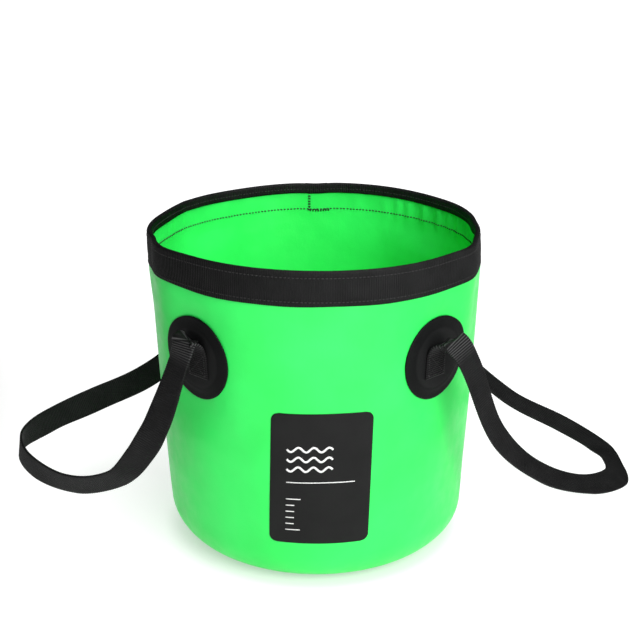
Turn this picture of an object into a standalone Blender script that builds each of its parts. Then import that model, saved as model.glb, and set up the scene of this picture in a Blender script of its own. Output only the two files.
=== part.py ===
"""A soft folding bucket of about twenty litres, with a bound rim and two webbing carry handles.

Metres, +Z up. The origin is the middle of the base, on the surface that the bucket stands on, and
the front is towards -Y. Azimuths run from the front towards +X.

The soft wall is three rings and a rounded bottom edge. The middle ring, and the lower one with the
bottom edge and the base, slide up inside the upper ring, which stands for the real wall's fold.
"""

from math import cos, pi, radians, sin

import bmesh
import bpy
from mathutils import Matrix, Vector
from mathutils.geometry import interpolate_bezier

# The bucket's body.
HEIGHT = 0.305
BASE_RADIUS = 0.104
CORNER_WIDTH = 0.0358
CORNER_HEIGHT = 0.038
CORNER_POWER = 1.7
SHOULDER_RADIUS = 0.1494
SHOULDER_MARGIN = 0.0045
WALL_BULGE = 0.0013
WALL_THICKNESS = 0.0008
BASE_THICKNESS = 0.0009
BASE_LAP = 0.003

# The wall's rings: how far below the patches the upper one ends, how tall the middle one is, how
# far two of them lap, and the room between them.
PATCH_TO_SPLIT = 0.0043
MIDDLE_RING = 0.080
RING_LAP = 0.004
SLIDE_GAP = 0.00035

# The gap that pieces lying on each other keep.
SEAT_GAP = 0.0003

# The webbing folded over the wall's top edge, its lap at the back, and its stitching. The wall
# stands straight behind the binding and for the shoulder's margin below it.
BINDING_THICKNESS = 0.0013
BINDING_OUTER_DEPTH = 0.0305
BINDING_INNER_DEPTH = 0.0100
SHOULDER_HEIGHT = HEIGHT - BINDING_OUTER_DEPTH - SHOULDER_MARGIN
LAP_WIDTH = 0.022
LAP_THICKNESS = 0.0010
LAP_MARGIN = 0.0015
STITCH_DEPTH = 0.027
THREAD = 0.0006

# The label panel on the front.
LABEL_WIDTH = 0.0886
LABEL_HEIGHT = 0.1275
LABEL_BELOW_RIM = 0.1295
LABEL_TOP = HEIGHT - LABEL_BELOW_RIM
LABEL_BOTTOM = LABEL_TOP - LABEL_HEIGHT
LABEL_CORNER = 0.007
LABEL_THICKNESS = 0.0005
LABEL_AZIMUTH = radians(1.7)

# The four moulded patches that carry the handles.
PATCH_RADIUS = 0.0387
PATCH_BELOW_RIM = 0.092
PATCH_HEIGHT = HEIGHT - PATCH_BELOW_RIM
PATCH_EDGE = 0.0012
PATCH_RISE = 0.005
PATCH_PLATEAU = 0.027
UPPER_SPLIT = PATCH_HEIGHT - PATCH_RADIUS - PATCH_TO_SPLIT
LOWER_SPLIT = UPPER_SPLIT - MIDDLE_RING
PATCH_AZIMUTHS = {
    "front_left": radians(-45),
    "front_right": radians(45),
    "rear_left": radians(-135),
    "rear_right": radians(135),
}

# The webbing of the handles: its sewn ends, their fold and the box of stitches.
WEBBING_WIDTH = 0.025
WEBBING_THICKNESS = 0.0018
TAB_BELOW = 0.0175
TAB_ABOVE = 0.0200
FOLD_RADIUS = 0.0030
BOX_MARGIN = 0.0025
BOX_HEIGHT = 0.026

# A handle's free webbing, from the fold at its front end to the fold at its rear end: points on
# its middle line, and the way its width runs there. A point gives how far it lies outside the
# folds, how far along it is from the front one (-1) to the rear one (1), and how far it lies above
# them. A way is in the handle's own sense: outwards, rearwards and up.
LEFT_ROUTE = [
    ((0.0038, -1.034, -0.0007), (0.71, 0.71, 0.00)),
    ((0.0063, -1.056, -0.0187), (0.68, 0.73, -0.03)),
    ((0.0243, -1.154, -0.0747), (0.85, 0.50, 0.00)),
    ((0.0403, -1.163, -0.1067), (0.85, -0.30, 0.10)),
    ((0.0613, -1.101, -0.1297), (0.60, -0.65, 0.45)),
    ((0.1053, -0.877, -0.1467), (0.34, -0.39, 0.85)),
    ((0.1533, -0.465, -0.1497), (0.16, -0.17, 0.97)),
    ((0.1743, 0.000, -0.1497), (0.00, 0.00, 1.00)),
    ((0.1553, 0.483, -0.1487), (0.10, 0.12, 0.99)),
    ((0.1173, 0.841, -0.1437), (0.34, 0.18, 0.92)),
    ((0.0683, 1.083, -0.1307), (0.55, 0.04, 0.83)),
    ((0.0363, 1.146, -0.1047), (0.77, -0.30, 0.57)),
    ((0.0153, 1.110, -0.0607), (0.81, -0.45, 0.30)),
    ((0.0063, 1.056, -0.0187), (0.74, -0.66, 0.08)),
    ((0.0038, 1.034, -0.0007), (0.71, -0.71, 0.00)),
]
RIGHT_ROUTE = [
    ((0.0063, -1.047, 0.0018), (0.71, 0.71, 0.00)),
    ((0.0213, -1.083, -0.0207), (0.62, 0.74, 0.25)),
    ((0.0493, -1.056, -0.0877), (0.41, 0.81, 0.41)),
    ((0.0903, -0.913, -0.1317), (-0.05, 0.89, 0.45)),
    ((0.1353, -0.653, -0.1577), (-0.50, 0.79, 0.36)),
    ((0.1673, -0.331, -0.1677), (-0.84, 0.47, 0.26)),
    ((0.1783, 0.000, -0.1697), (-0.97, 0.05, 0.25)),
    ((0.1703, 0.340, -0.1687), (-0.93, -0.36, 0.05)),
    ((0.1413, 0.653, -0.1617), (-0.75, -0.64, -0.18)),
    ((0.0883, 0.931, -0.1427), (-0.51, -0.84, -0.21)),
    ((0.0413, 1.065, -0.0987), (-0.18, -0.98, -0.12)),
    ((0.0143, 1.092, -0.0407), (0.25, -0.97, -0.04)),
    ((0.0048, 1.043, -0.0007), (0.71, -0.71, 0.00)),
]
# A handle turns about a line along Y, this far outside the outer corners of its two folds.
HINGE_CLEARANCE = 0.0017

# How finely the round shapes are cut.
RING_SEGMENTS = 64
PATCH_SEGMENTS = 32
CORNER_STEPS = 7
FOLD_STEPS = 4
ROUTE_STEPS = 4

COLOURS = {
    "wall_green": ((0.05, 0.82, 0.13), 0.35),
    "webbing_black": ((0.012, 0.012, 0.013), 0.85),
    "patch_black": ((0.010, 0.010, 0.011), 0.55),
    "label_black": ((0.025, 0.025, 0.026), 0.60),
    "thread_black": ((0.008, 0.008, 0.008), 0.90),
}


def material(name):
    """The named material, made once."""
    if name in bpy.data.materials:
        return bpy.data.materials[name]
    colour, roughness = COLOURS[name]
    made = bpy.data.materials.new(name)
    made.use_nodes = True
    shader = made.node_tree.nodes["Principled BSDF"]
    shader.inputs["Base Color"].default_value = (*colour, 1.0)
    shader.inputs["Roughness"].default_value = roughness
    return made


def place(name, mesh, material_name, parent=None):
    """Make an object of a bmesh whose points are in the world's frame."""
    bmesh.ops.recalc_face_normals(mesh, faces=mesh.faces)
    if mesh.calc_volume(signed=True) < 0:
        bmesh.ops.reverse_faces(mesh, faces=mesh.faces)
    data = bpy.data.meshes.new(name)
    mesh.to_mesh(data)
    mesh.free()
    data.shade_smooth()
    data.set_sharp_from_angle(angle=radians(35))
    data.materials.append(material(material_name))
    made = bpy.data.objects.new(name, data)
    bpy.context.collection.objects.link(made)
    if parent is not None:
        data.transform(Matrix.Translation(-parent.location))
        made.parent = parent
    return made


def pivot(name, location):
    """An empty on a moving body's joint axis."""
    made = bpy.data.objects.new(name, None)
    made.location = location
    bpy.context.collection.objects.link(made)
    return made


def wall_radius(z):
    """The wall's outer radius at a height, above its rounded corner."""
    foot = BASE_RADIUS + CORNER_WIDTH
    share = min(max((z - CORNER_HEIGHT) / (SHOULDER_HEIGHT - CORNER_HEIGHT), 0.0), 1.0)
    return foot + (SHOULDER_RADIUS - foot) * share + WALL_BULGE * sin(pi * share)


def wall_point(azimuth, z, lift=0.0):
    """A point at an azimuth and a height, lifted off the wall's outer face."""
    radius = wall_radius(z) + lift
    return Vector((radius * sin(azimuth), -radius * cos(azimuth), z))


def spun(outline, segments=RING_SEGMENTS):
    """An outline of (radius, height) points, turned about the Z axis.

    It is closed first, unless it starts and ends on the axis.
    """
    mesh = bmesh.new()
    points = [mesh.verts.new((radius, 0.0, z)) for radius, z in outline]
    edges = [mesh.edges.new(pair) for pair in zip(points, points[1:])]
    if outline[0][0] > 0:
        edges.append(mesh.edges.new((points[-1], points[0])))
    bmesh.ops.spin(
        mesh,
        geom=points + edges,
        axis=(0, 0, 1),
        cent=(0, 0, 0),
        steps=segments,
        angle=2 * pi,
        use_merge=True,
    )
    bmesh.ops.remove_doubles(mesh, verts=mesh.verts, dist=1e-6)
    return mesh


def ring_outline(low, high, inset, steps):
    """The outline of a ring of wall between two heights, set in from the bucket's outer face."""
    heights = [low + (high - low) * i / steps for i in range(steps + 1)]
    outer = [(wall_radius(z) - inset, z) for z in heights]
    inner = [(radius - WALL_THICKNESS, z) for radius, z in reversed(outer)]
    return outer + inner


def corner_outline(inset, floor):
    """The rounded bottom corner of the wall, from the base's edge up to the straight wall."""
    points = []
    for i in range(CORNER_STEPS):
        turn = 0.5 * pi * i / CORNER_STEPS
        across = (sin(turn)) ** (2 / CORNER_POWER)
        up = 1 - (cos(turn)) ** (2 / CORNER_POWER)
        points.append(
            (
                BASE_RADIUS + (CORNER_WIDTH - inset) * across,
                floor + (CORNER_HEIGHT - floor) * up,
            )
        )
    return points


def make_walls(middle_pivot, base_pivot):
    """The three rings of the wall, each set in from the one above it."""
    step = WALL_THICKNESS + SLIDE_GAP
    top = HEIGHT - BINDING_THICKNESS - SEAT_GAP
    low = UPPER_SPLIT - RING_LAP / 2
    mesh = spun(ring_outline(low, top, 0.0, 5))
    place("upper_wall", mesh, "wall_green")

    low = LOWER_SPLIT - RING_LAP / 2
    high = UPPER_SPLIT + RING_LAP / 2
    mesh = spun(ring_outline(low, high, step, 3))
    place("middle_wall", mesh, "wall_green", middle_pivot)

    high = LOWER_SPLIT + RING_LAP / 2
    mesh = spun(ring_outline(CORNER_HEIGHT, high, 2 * step, 2))
    place("lower_wall", mesh, "wall_green", base_pivot)


def make_base(base_pivot):
    """The wall's rounded bottom edge, and the base panel that it laps onto."""
    inset = 2 * (WALL_THICKNESS + SLIDE_GAP)
    floor = BASE_THICKNESS + SEAT_GAP
    top = CORNER_HEIGHT - SEAT_GAP
    outer = corner_outline(inset, floor)
    inner = [
        (radius, z + WALL_THICKNESS)
        for radius, z in corner_outline(inset + WALL_THICKNESS, floor)
    ]
    foot = wall_radius(CORNER_HEIGHT) - inset
    turned_in = BASE_RADIUS - BASE_LAP
    outline = [(turned_in, floor)] + outer + [(foot, top), (foot - WALL_THICKNESS, top)]
    outline += list(reversed(inner)) + [(turned_in, floor + WALL_THICKNESS)]
    place("bottom_corner", spun(outline), "wall_green", base_pivot)

    mesh = bmesh.new()
    bmesh.ops.create_cone(
        mesh,
        cap_ends=True,
        segments=RING_SEGMENTS,
        radius1=BASE_RADIUS,
        radius2=BASE_RADIUS,
        depth=BASE_THICKNESS,
        matrix=Matrix.Translation((0, 0, BASE_THICKNESS / 2)),
    )
    place("base_panel", mesh, "wall_green", base_pivot)


def binding_outline(lift, thickness, outer_depth, inner_depth):
    """Webbing folded over the wall's top edge, lifted off what it covers by the given amount."""
    outside = SHOULDER_RADIUS + SEAT_GAP + lift
    inside = SHOULDER_RADIUS - WALL_THICKNESS - SEAT_GAP - lift
    top = HEIGHT - BINDING_THICKNESS + lift
    middle = (outside + inside) / 2
    half = (outside - inside) / 2
    crown = [
        (middle + (half + thickness) * cos(pi * i / 6), top + thickness * sin(pi * i / 6))
        for i in range(7)
    ]
    return (
        [(outside, top), (outside, HEIGHT - outer_depth)]
        + [(outside + thickness, HEIGHT - outer_depth)]
        + crown
        + [(inside - thickness, HEIGHT - inner_depth)]
        + [(inside, HEIGHT - inner_depth), (inside, top)]
    )


def make_rim():
    """The rim's binding, the lap of its two ends at the back, and the seam through the wall."""
    outline = binding_outline(
        0.0, BINDING_THICKNESS, BINDING_OUTER_DEPTH, BINDING_INNER_DEPTH
    )
    place("rim_binding", spun(outline), "webbing_black")

    outline = binding_outline(
        BINDING_THICKNESS + SEAT_GAP,
        LAP_THICKNESS,
        BINDING_OUTER_DEPTH - LAP_MARGIN,
        BINDING_INNER_DEPTH - LAP_MARGIN,
    )
    mesh = bmesh.new()
    half_turn = LAP_WIDTH / 2 / SHOULDER_RADIUS
    first = [
        mesh.verts.new((radius * sin(pi - half_turn), -radius * cos(pi - half_turn), z))
        for radius, z in outline
    ]
    end = mesh.faces.new(first)
    bmesh.ops.spin(
        mesh,
        geom=[end],
        axis=(0, 0, 1),
        cent=(0, 0, 0),
        steps=4,
        angle=2 * half_turn,
    )
    place("rim_lap", mesh, "webbing_black")

    low = HEIGHT - STITCH_DEPTH
    outer = wall_radius(low) - WALL_THICKNESS - SEAT_GAP
    square = [
        (outer - THREAD, low),
        (outer, low),
        (outer, low + THREAD),
        (outer - THREAD, low + THREAD),
    ]
    place("rim_stitching", spun(square), "thread_black")


def make_label():
    """The rounded panel on the front, lying on the wall."""
    steps = 4
    half_width = LABEL_WIDTH / 2
    outline = []
    corners = [
        (half_width, LABEL_TOP, 0.0),
        (-half_width, LABEL_TOP, 0.5 * pi),
        (-half_width, LABEL_BOTTOM, pi),
        (half_width, LABEL_BOTTOM, 1.5 * pi),
    ]
    for x, z, start in corners:
        centre_x = x - LABEL_CORNER * (1 if x > 0 else -1)
        centre_z = z - LABEL_CORNER * (1 if z == LABEL_TOP else -1)
        for i in range(steps + 1):
            turn = start + 0.5 * pi * i / steps
            outline.append(
                (centre_x + LABEL_CORNER * cos(turn), centre_z + LABEL_CORNER * sin(turn))
            )
    mesh = bmesh.new()
    face = mesh.faces.new([mesh.verts.new((x, 0.0, z)) for x, z in outline])
    # Upright cuts let the flat panel bend round the wall.
    cuts = 12
    for i in range(1, cuts):
        x = -half_width + LABEL_WIDTH * i / cuts
        geometry = mesh.verts[:] + mesh.edges[:] + mesh.faces[:]
        bmesh.ops.bisect_plane(
            mesh, geom=geometry, plane_co=(x, 0, 0), plane_no=(1, 0, 0)
        )
    levels = 6
    for i in range(1, levels):
        z = LABEL_BOTTOM + (LABEL_TOP - LABEL_BOTTOM) * i / levels
        geometry = mesh.verts[:] + mesh.edges[:] + mesh.faces[:]
        bmesh.ops.bisect_plane(
            mesh, geom=geometry, plane_co=(0, 0, z), plane_no=(0, 0, 1)
        )
    front = bmesh.ops.extrude_face_region(mesh, geom=mesh.faces[:])
    for item in front["geom"]:
        if isinstance(item, bmesh.types.BMVert):
            item.co.y = LABEL_THICKNESS
    for point in mesh.verts:
        azimuth = LABEL_AZIMUTH + point.co.x / SHOULDER_RADIUS
        point.co = wall_point(azimuth, point.co.z, SEAT_GAP + point.co.y)
    place("label_panel", mesh, "label_black")


def patch_frame(azimuth):
    """Across, up and out at a patch, with the origin on the wall at the patch's middle."""
    below = wall_point(azimuth, PATCH_HEIGHT - PATCH_RADIUS)
    above = wall_point(azimuth, PATCH_HEIGHT + PATCH_RADIUS)
    up = (above - below).normalized()
    across = Vector((cos(azimuth), sin(azimuth), 0.0))
    out = across.cross(up)
    frame = Matrix((across, up, out)).transposed().to_4x4()
    frame.translation = wall_point(azimuth, PATCH_HEIGHT)
    return frame


def make_patch(name, azimuth):
    """A round moulded patch: a sloping flange round a raised plateau, bent to the wall."""
    outline = [
        (0.0, 0.0),
        (PATCH_PLATEAU * 0.5, 0.0),
        (PATCH_PLATEAU, 0.0),
        (PATCH_RADIUS, 0.0),
        (PATCH_RADIUS, PATCH_EDGE),
        (PATCH_PLATEAU, PATCH_RISE),
        (PATCH_PLATEAU * 0.5, PATCH_RISE),
        (0.0, PATCH_RISE),
    ]
    mesh = spun(outline, PATCH_SEGMENTS)
    middle = wall_radius(PATCH_HEIGHT)
    for point in mesh.verts:
        x, y, lift = point.co
        point.co = wall_point(azimuth + x / middle, PATCH_HEIGHT + y, SEAT_GAP + lift)
    place(name, mesh, "patch_black")


def ribbon(stations, width, thickness):
    """Webbing through stations of (middle, way along, way across)."""
    mesh = bmesh.new()
    sections = []
    for middle, along, across in stations:
        side = (across - across.dot(along) * along).normalized()
        face = along.cross(side)
        half_side = side * width / 2
        half_face = face * thickness / 2
        corners = [
            middle - half_side - half_face,
            middle + half_side - half_face,
            middle + half_side + half_face,
            middle - half_side + half_face,
        ]
        sections.append([mesh.verts.new(corner) for corner in corners])
    for first, second in zip(sections, sections[1:]):
        for i in range(4):
            j = (i + 1) % 4
            mesh.faces.new((first[i], first[j], second[j], second[i]))
    mesh.faces.new(sections[0])
    mesh.faces.new(sections[-1])
    bmesh.ops.triangulate(mesh, faces=mesh.faces)
    return mesh


def tab_lift():
    """How far the middle of a sewn tab lies off the wall."""
    return SEAT_GAP + PATCH_RISE + SEAT_GAP + WEBBING_THICKNESS / 2


def make_tab(name, azimuth):
    """A handle's sewn end: up the patch's face, then folded outwards over its top."""
    frame = patch_frame(azimuth)
    lift = tab_lift()
    path = [
        ((0, -TAB_BELOW, lift), (0, 1, 0)),
        ((0, TAB_ABOVE - FOLD_RADIUS, lift), (0, 1, 0)),
    ]
    for i in range(1, FOLD_STEPS + 1):
        turn = 0.5 * pi * i / FOLD_STEPS
        out = lift + FOLD_RADIUS * (1 - cos(turn))
        up = TAB_ABOVE - FOLD_RADIUS * (1 - sin(turn))
        path.append(((0, up, out), (0, cos(turn), sin(turn))))
    turned = frame.to_3x3()
    across = turned @ Vector((1, 0, 0))
    stations = [
        (frame @ Vector(middle), turned @ Vector(along), across)
        for middle, along in path
    ]
    mesh = ribbon(stations, WEBBING_WIDTH, WEBBING_THICKNESS)
    place(name, mesh, "webbing_black")


def make_box_stitch(name, azimuth):
    """A box of thread with a cross in it, lying on a tab's face."""
    half_width = WEBBING_WIDTH / 2 - BOX_MARGIN
    half_height = BOX_HEIGHT / 2
    low = -TAB_BELOW + BOX_MARGIN
    middle = low + half_height
    lift = tab_lift() + WEBBING_THICKNESS / 2 + SEAT_GAP
    corners = [
        (-half_width, -half_height),
        (half_width, -half_height),
        (half_width, half_height),
        (-half_width, half_height),
    ]
    # Each window is a triangle between one side of the box and the cross.
    slope = half_height / half_width
    bar = THREAD * (1 + slope * slope) ** 0.5
    tip_x = half_width - bar / slope
    tip_y = half_height - bar
    across_x = bar / 2 / slope
    mesh = bmesh.new()

    def corner(x, y):
        return mesh.verts.new((x, middle + y, lift))

    outer = [corner(x, y) for x, y in corners]
    edge = THREAD
    windows = [
        [
            corner(-(tip_x - edge / slope), -half_height + edge),
            corner(tip_x - edge / slope, -half_height + edge),
            corner(0.0, -bar / 2),
        ],
        [
            corner(half_width - edge, -(tip_y - edge * slope)),
            corner(half_width - edge, tip_y - edge * slope),
            corner(across_x, 0.0),
        ],
        [
            corner(tip_x - edge / slope, half_height - edge),
            corner(-(tip_x - edge / slope), half_height - edge),
            corner(0.0, bar / 2),
        ],
        [
            corner(-half_width + edge, tip_y - edge * slope),
            corner(-half_width + edge, -(tip_y - edge * slope)),
            corner(-across_x, 0.0),
        ],
    ]
    for i in range(4):
        here, before = windows[i], windows[i - 1]
        mesh.faces.new((outer[i], outer[(i + 1) % 4], here[1], here[0]))
        mesh.faces.new((outer[i], here[0], here[2], before[2], before[1]))
    mesh.faces.new([window[2] for window in windows])
    front = bmesh.ops.extrude_face_region(mesh, geom=mesh.faces[:])
    for item in front["geom"]:
        if isinstance(item, bmesh.types.BMVert):
            item.co.z += THREAD
    frame = patch_frame(azimuth)
    for point in mesh.verts:
        point.co = frame @ point.co
    place(name, mesh, "thread_black")


def fold_end(azimuth):
    """Where a tab's folded end stops, and which way it points."""
    frame = patch_frame(azimuth)
    end = frame @ Vector((0, TAB_ABOVE, tab_lift() + FOLD_RADIUS))
    out = frame.to_3x3() @ Vector((0, 0, 1))
    return end, out


def smooth_route(points, steps):
    """Points on a smooth curve through the given ones, with the curve's way at each."""
    count = len(points)
    slopes = []
    for i in range(count):
        before = points[max(i - 1, 0)]
        after = points[min(i + 1, count - 1)]
        here = points[i]
        span = (here - before).length + (after - here).length
        slopes.append((after - before) / span)
    line = []
    for i in range(count - 1):
        third = (points[i + 1] - points[i]).length / 3
        piece = interpolate_bezier(
            points[i],
            points[i] + slopes[i] * third,
            points[i + 1] - slopes[i + 1] * third,
            points[i + 1],
            steps + 1,
        )
        line += piece[:-1]
    return line + [points[-1]]


def make_handle(name, route, front, rear, hinge):
    """A handle's free webbing, from the fold on its front patch to the one on its rear patch."""
    fold = fold_end(front)[0]
    outwards = 1 if fold.x > 0 else -1
    points = []
    across = []
    for (out, share, up), (way_out, way_back, way_up) in route:
        points.append(Vector((fold.x + outwards * out, -fold.y * share, fold.z + up)))
        across.append(Vector((outwards * way_out, way_back, way_up)).normalized())
    starts = []
    for azimuth, nearest in ((front, across[0]), (rear, across[-1])):
        end, out = fold_end(azimuth)
        side = Vector((cos(azimuth), sin(azimuth), 0.0))
        if side.dot(nearest) < 0:
            side = -side
        starts.append((end + out * SEAT_GAP, side))
    points = [starts[0][0]] + points + [starts[1][0]]
    across = [starts[0][1]] + across + [starts[1][1]]
    line = smooth_route(points, ROUTE_STEPS)
    stations = []
    for i, middle in enumerate(line):
        along = (line[min(i + 1, len(line) - 1)] - line[max(i - 1, 0)]).normalized()
        segment, share = divmod(i, ROUTE_STEPS)
        start = across[segment]
        finish = across[min(segment + 1, len(across) - 1)]
        side = start.lerp(finish, share / ROUTE_STEPS)
        stations.append((middle, along, side))
    # The first and the last section face the folds squarely.
    first, last = stations[0], stations[-1]
    stations[0] = (first[0], fold_end(front)[1], first[2])
    stations[-1] = (last[0], -fold_end(rear)[1], last[2])
    mesh = ribbon(stations, WEBBING_WIDTH, WEBBING_THICKNESS)
    place(name, mesh, "webbing_black", hinge)


def hinge_place(front):
    """The middle of a handle's hinge line, which runs along Y just outside its two folds."""
    end, out = fold_end(front)
    side = 1 if end.x > 0 else -1
    offset = WEBBING_WIDTH / 2 * abs(cos(front)) + HINGE_CLEARANCE
    return Vector((end.x + side * offset, 0.0, end.z))


def main():
    for old in list(bpy.data.objects):
        bpy.data.objects.remove(old)
    middle_pivot = pivot("middle_slide", (0, 0, LOWER_SPLIT))
    base_pivot = pivot("base_slide", (0, 0, 0))
    make_walls(middle_pivot, base_pivot)
    make_base(base_pivot)
    make_rim()
    make_label()
    for place_name, azimuth in PATCH_AZIMUTHS.items():
        make_patch("patch_" + place_name, azimuth)
        make_tab("strap_tab_" + place_name, azimuth)
        make_box_stitch("box_stitch_" + place_name, azimuth)
    for side, route in (("left", LEFT_ROUTE), ("right", RIGHT_ROUTE)):
        front = PATCH_AZIMUTHS["front_" + side]
        rear = PATCH_AZIMUTHS["rear_" + side]
        hinge = pivot(side + "_handle_hinge", hinge_place(front))
        print(side, "handle hinge", [round(x, 5) for x in hinge.location])
        make_handle(side + "_handle_strap", route, front, rear, hinge)


main()
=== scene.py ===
"""The looks of a soft folding bucket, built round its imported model.

Metres, +Z up. The origin is the middle of the base and the front is towards -Y. Azimuths run from
the front towards +X.
"""

import random
from math import copysign, cos, exp, pi, radians, sin, sqrt, tan

import bpy
from mathutils import Matrix, Vector
from mathutils.geometry import interpolate_bezier


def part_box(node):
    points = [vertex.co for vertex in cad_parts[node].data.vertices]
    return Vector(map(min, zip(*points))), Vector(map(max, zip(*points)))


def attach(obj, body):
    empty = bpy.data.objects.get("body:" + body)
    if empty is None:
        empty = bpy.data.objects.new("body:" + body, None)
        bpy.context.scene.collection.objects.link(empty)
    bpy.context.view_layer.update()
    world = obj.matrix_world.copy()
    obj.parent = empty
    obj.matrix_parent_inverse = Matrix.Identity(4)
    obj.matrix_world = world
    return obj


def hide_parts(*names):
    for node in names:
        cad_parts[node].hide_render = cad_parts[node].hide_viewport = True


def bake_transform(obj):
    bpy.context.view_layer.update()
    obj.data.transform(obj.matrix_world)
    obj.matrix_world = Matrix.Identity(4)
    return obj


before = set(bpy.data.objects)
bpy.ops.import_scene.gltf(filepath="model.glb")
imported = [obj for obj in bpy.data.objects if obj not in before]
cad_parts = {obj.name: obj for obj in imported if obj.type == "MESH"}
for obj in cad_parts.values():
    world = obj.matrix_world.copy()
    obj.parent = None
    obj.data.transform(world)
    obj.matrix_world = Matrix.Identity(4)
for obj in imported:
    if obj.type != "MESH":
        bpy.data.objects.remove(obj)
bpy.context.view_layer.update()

# The bucket's body, from the frame.
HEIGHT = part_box("rim_binding")[1].z
BINDING_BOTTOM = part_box("rim_binding")[0].z
BASE_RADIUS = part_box("base_panel")[1].x
BASE_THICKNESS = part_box("base_panel")[1].z
CORNER_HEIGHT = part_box("lower_wall")[0].z
SHOULDER_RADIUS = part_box("upper_wall")[1].x
SHOULDER_HEIGHT = BINDING_BOTTOM - 0.0045
CORNER_WIDTH = 0.0358
CORNER_POWER = 1.95
WALL_BULGE = 0.0013
WALL_THICKNESS = 0.0008
WALL_TOP = HEIGHT - 0.0020
BASE_LAP = 0.010
# A small gap between two pieces that touch.
SEAT = 0.0003
# The wall's mesh: columns round it, and rows up the wall and up its rounded corner.
WALL_COLUMNS = 360
WALL_ROWS = 64
CORNER_STEPS = 16

# The rim's webbing.
BINDING_THICKNESS = 0.0013
BINDING_INNER_DEPTH = 0.0100
LAP_WIDTH = 0.022
LAP_THICKNESS = 0.0004
RIM_SEAM_DEPTH = 0.0060
HEM_SEAM_DEPTH = 0.0270
RIB_PITCH = 0.0020
RIB_HEIGHT = 0.00042
RIB_STEPS = 4
BINDING_PUFF = 0.00035

# The side seam of the wall, at the back.
SIDE_SEAM = radians(184.5)
SIDE_SEAM_WIDTH = 0.018
SIDE_SEAM_RISE = 0.0004
SIDE_SEAM_GROOVE = 0.0007
SIDE_SEAM_GROOVE_WIDTH = 0.0007

# The handles' patches.
PATCH_RADIUS = 0.0386
PATCH_PLATEAU = 0.0272
PATCH_RISE = 0.0030
PATCH_EDGE = 0.0017
PATCH_HOLLOW = 0.00025
# How far a stiff patch draws the wall's round shape in, and how wide that is.
PATCH_DRAW = 0.0032
PATCH_DRAW_WIDTH = 0.0485
# Each patch's azimuth and its middle's height; then the height of the handle's fold above that,
# the fold's slant, up towards +across, and how far along +across the handle's sewn end lies.
PATCHES = {
    "front_left": (radians(-45.5), 0.2101, 0.0215, radians(-17), 0.0034),
    "front_right": (radians(45.7), 0.2107, 0.0165, radians(2), -0.0034),
    "rear_left": (radians(-135), 0.2110, 0.0200, radians(10), -0.0034),
    "rear_right": (radians(135), 0.2110, 0.0180, radians(-10), 0.0034),
}

# The handles' webbing, its sewn ends and the box of stitches on each.
WEBBING_WIDTH = 0.025
WEBBING_THICKNESS = 0.0018
TAB_BELOW = 0.0160
# How far the middle of a sewn end lies off the wall.
TAB_LIFT = SEAT + PATCH_RISE + SEAT + WEBBING_THICKNESS / 2
# The height at which the webbing leaves its patch, and how far off the wall its fold lies.
FOLD_FOOT = 0.0025
FOLD_OUT = 0.0130
BOX_MARGIN = 0.0025
BOX_HEIGHT = 0.020

# A handle's free webbing: how far its middle line lies outside the folds, how far along from the
# front fold (-1) to the rear one (1), and how far above them, with the way that its width runs
# there (outwards, rearwards and up).
LEFT_ROUTE = [
    ((0.0020, -1.015, -0.0040), (0.67, 0.67, 0.30)),
    ((0.0063, -1.056, -0.0186), (0.68, 0.72, 0.10)),
    ((0.0264, -1.154, -0.0738), (0.83, 0.44, 0.35)),
    ((0.0437, -1.163, -0.1046), (0.79, -0.08, 0.60)),
    ((0.0649, -1.101, -0.1290), (0.44, -0.47, 0.76)),
    ((0.1084, -0.877, -0.1470), (0.13, -0.45, 0.88)),
    ((0.1552, -0.465, -0.1501), (-0.02, -0.24, 0.97)),
    ((0.1750, 0.000, -0.1483), (-0.15, -0.07, 0.99)),
    ((0.1549, 0.483, -0.1486), (0.09, 0.15, 0.98)),
    ((0.1168, 0.841, -0.1435), (0.39, 0.20, 0.90)),
    ((0.0681, 1.083, -0.1291), (0.60, 0.05, 0.80)),
    ((0.0360, 1.146, -0.1043), (0.74, -0.16, 0.65)),
    ((0.0151, 1.110, -0.0605), (0.80, -0.37, 0.47)),
    ((0.0062, 1.056, -0.0186), (0.79, -0.56, 0.25)),
    ((0.0038, 1.034, -0.0007), (0.71, -0.71, 0.00)),
]
RIGHT_ROUTE = [
    ((0.0083, -1.047, -0.0022), (0.84, 0.48, 0.22)),
    ((0.0213, -1.083, -0.0207), (0.66, 0.71, 0.25)),
    ((0.0489, -1.056, -0.0892), (0.46, 0.80, 0.39)),
    ((0.0906, -0.914, -0.1324), (-0.03, 0.88, 0.48)),
    ((0.1396, -0.654, -0.1589), (-0.45, 0.80, 0.40)),
    ((0.1745, -0.332, -0.1692), (-0.75, 0.49, 0.45)),
    ((0.1805, 0.000, -0.1719), (-0.90, 0.00, 0.43)),
    ((0.1722, 0.339, -0.1701), (-0.89, -0.46, 0.01)),
    ((0.1420, 0.652, -0.1619), (-0.66, -0.73, -0.17)),
    ((0.0883, 0.930, -0.1430), (-0.50, -0.85, -0.16)),
    ((0.0406, 1.064, -0.0995), (-0.29, -0.95, -0.08)),
    ((0.0138, 1.092, -0.0411), (0.17, -0.99, 0.00)),
    ((0.0048, 1.043, -0.0007), (0.71, -0.71, 0.00)),
]

# Where the right handle's route is measured from: its front fold's end. The left one mirrors it.
HANDLE_FOLD = Vector((0.11174, -0.11174, 0.23271))

# The label panel.
LABEL_WIDTH = 0.0893
LABEL_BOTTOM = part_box("label_panel")[0].z
LABEL_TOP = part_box("label_panel")[1].z
LABEL_CORNER = 0.007
LABEL_THICKNESS = 0.0005
INK_THICKNESS = 0.00008
LABEL_AZIMUTH = radians(1.7)
LABEL_LEAN = radians(1.4)

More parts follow.
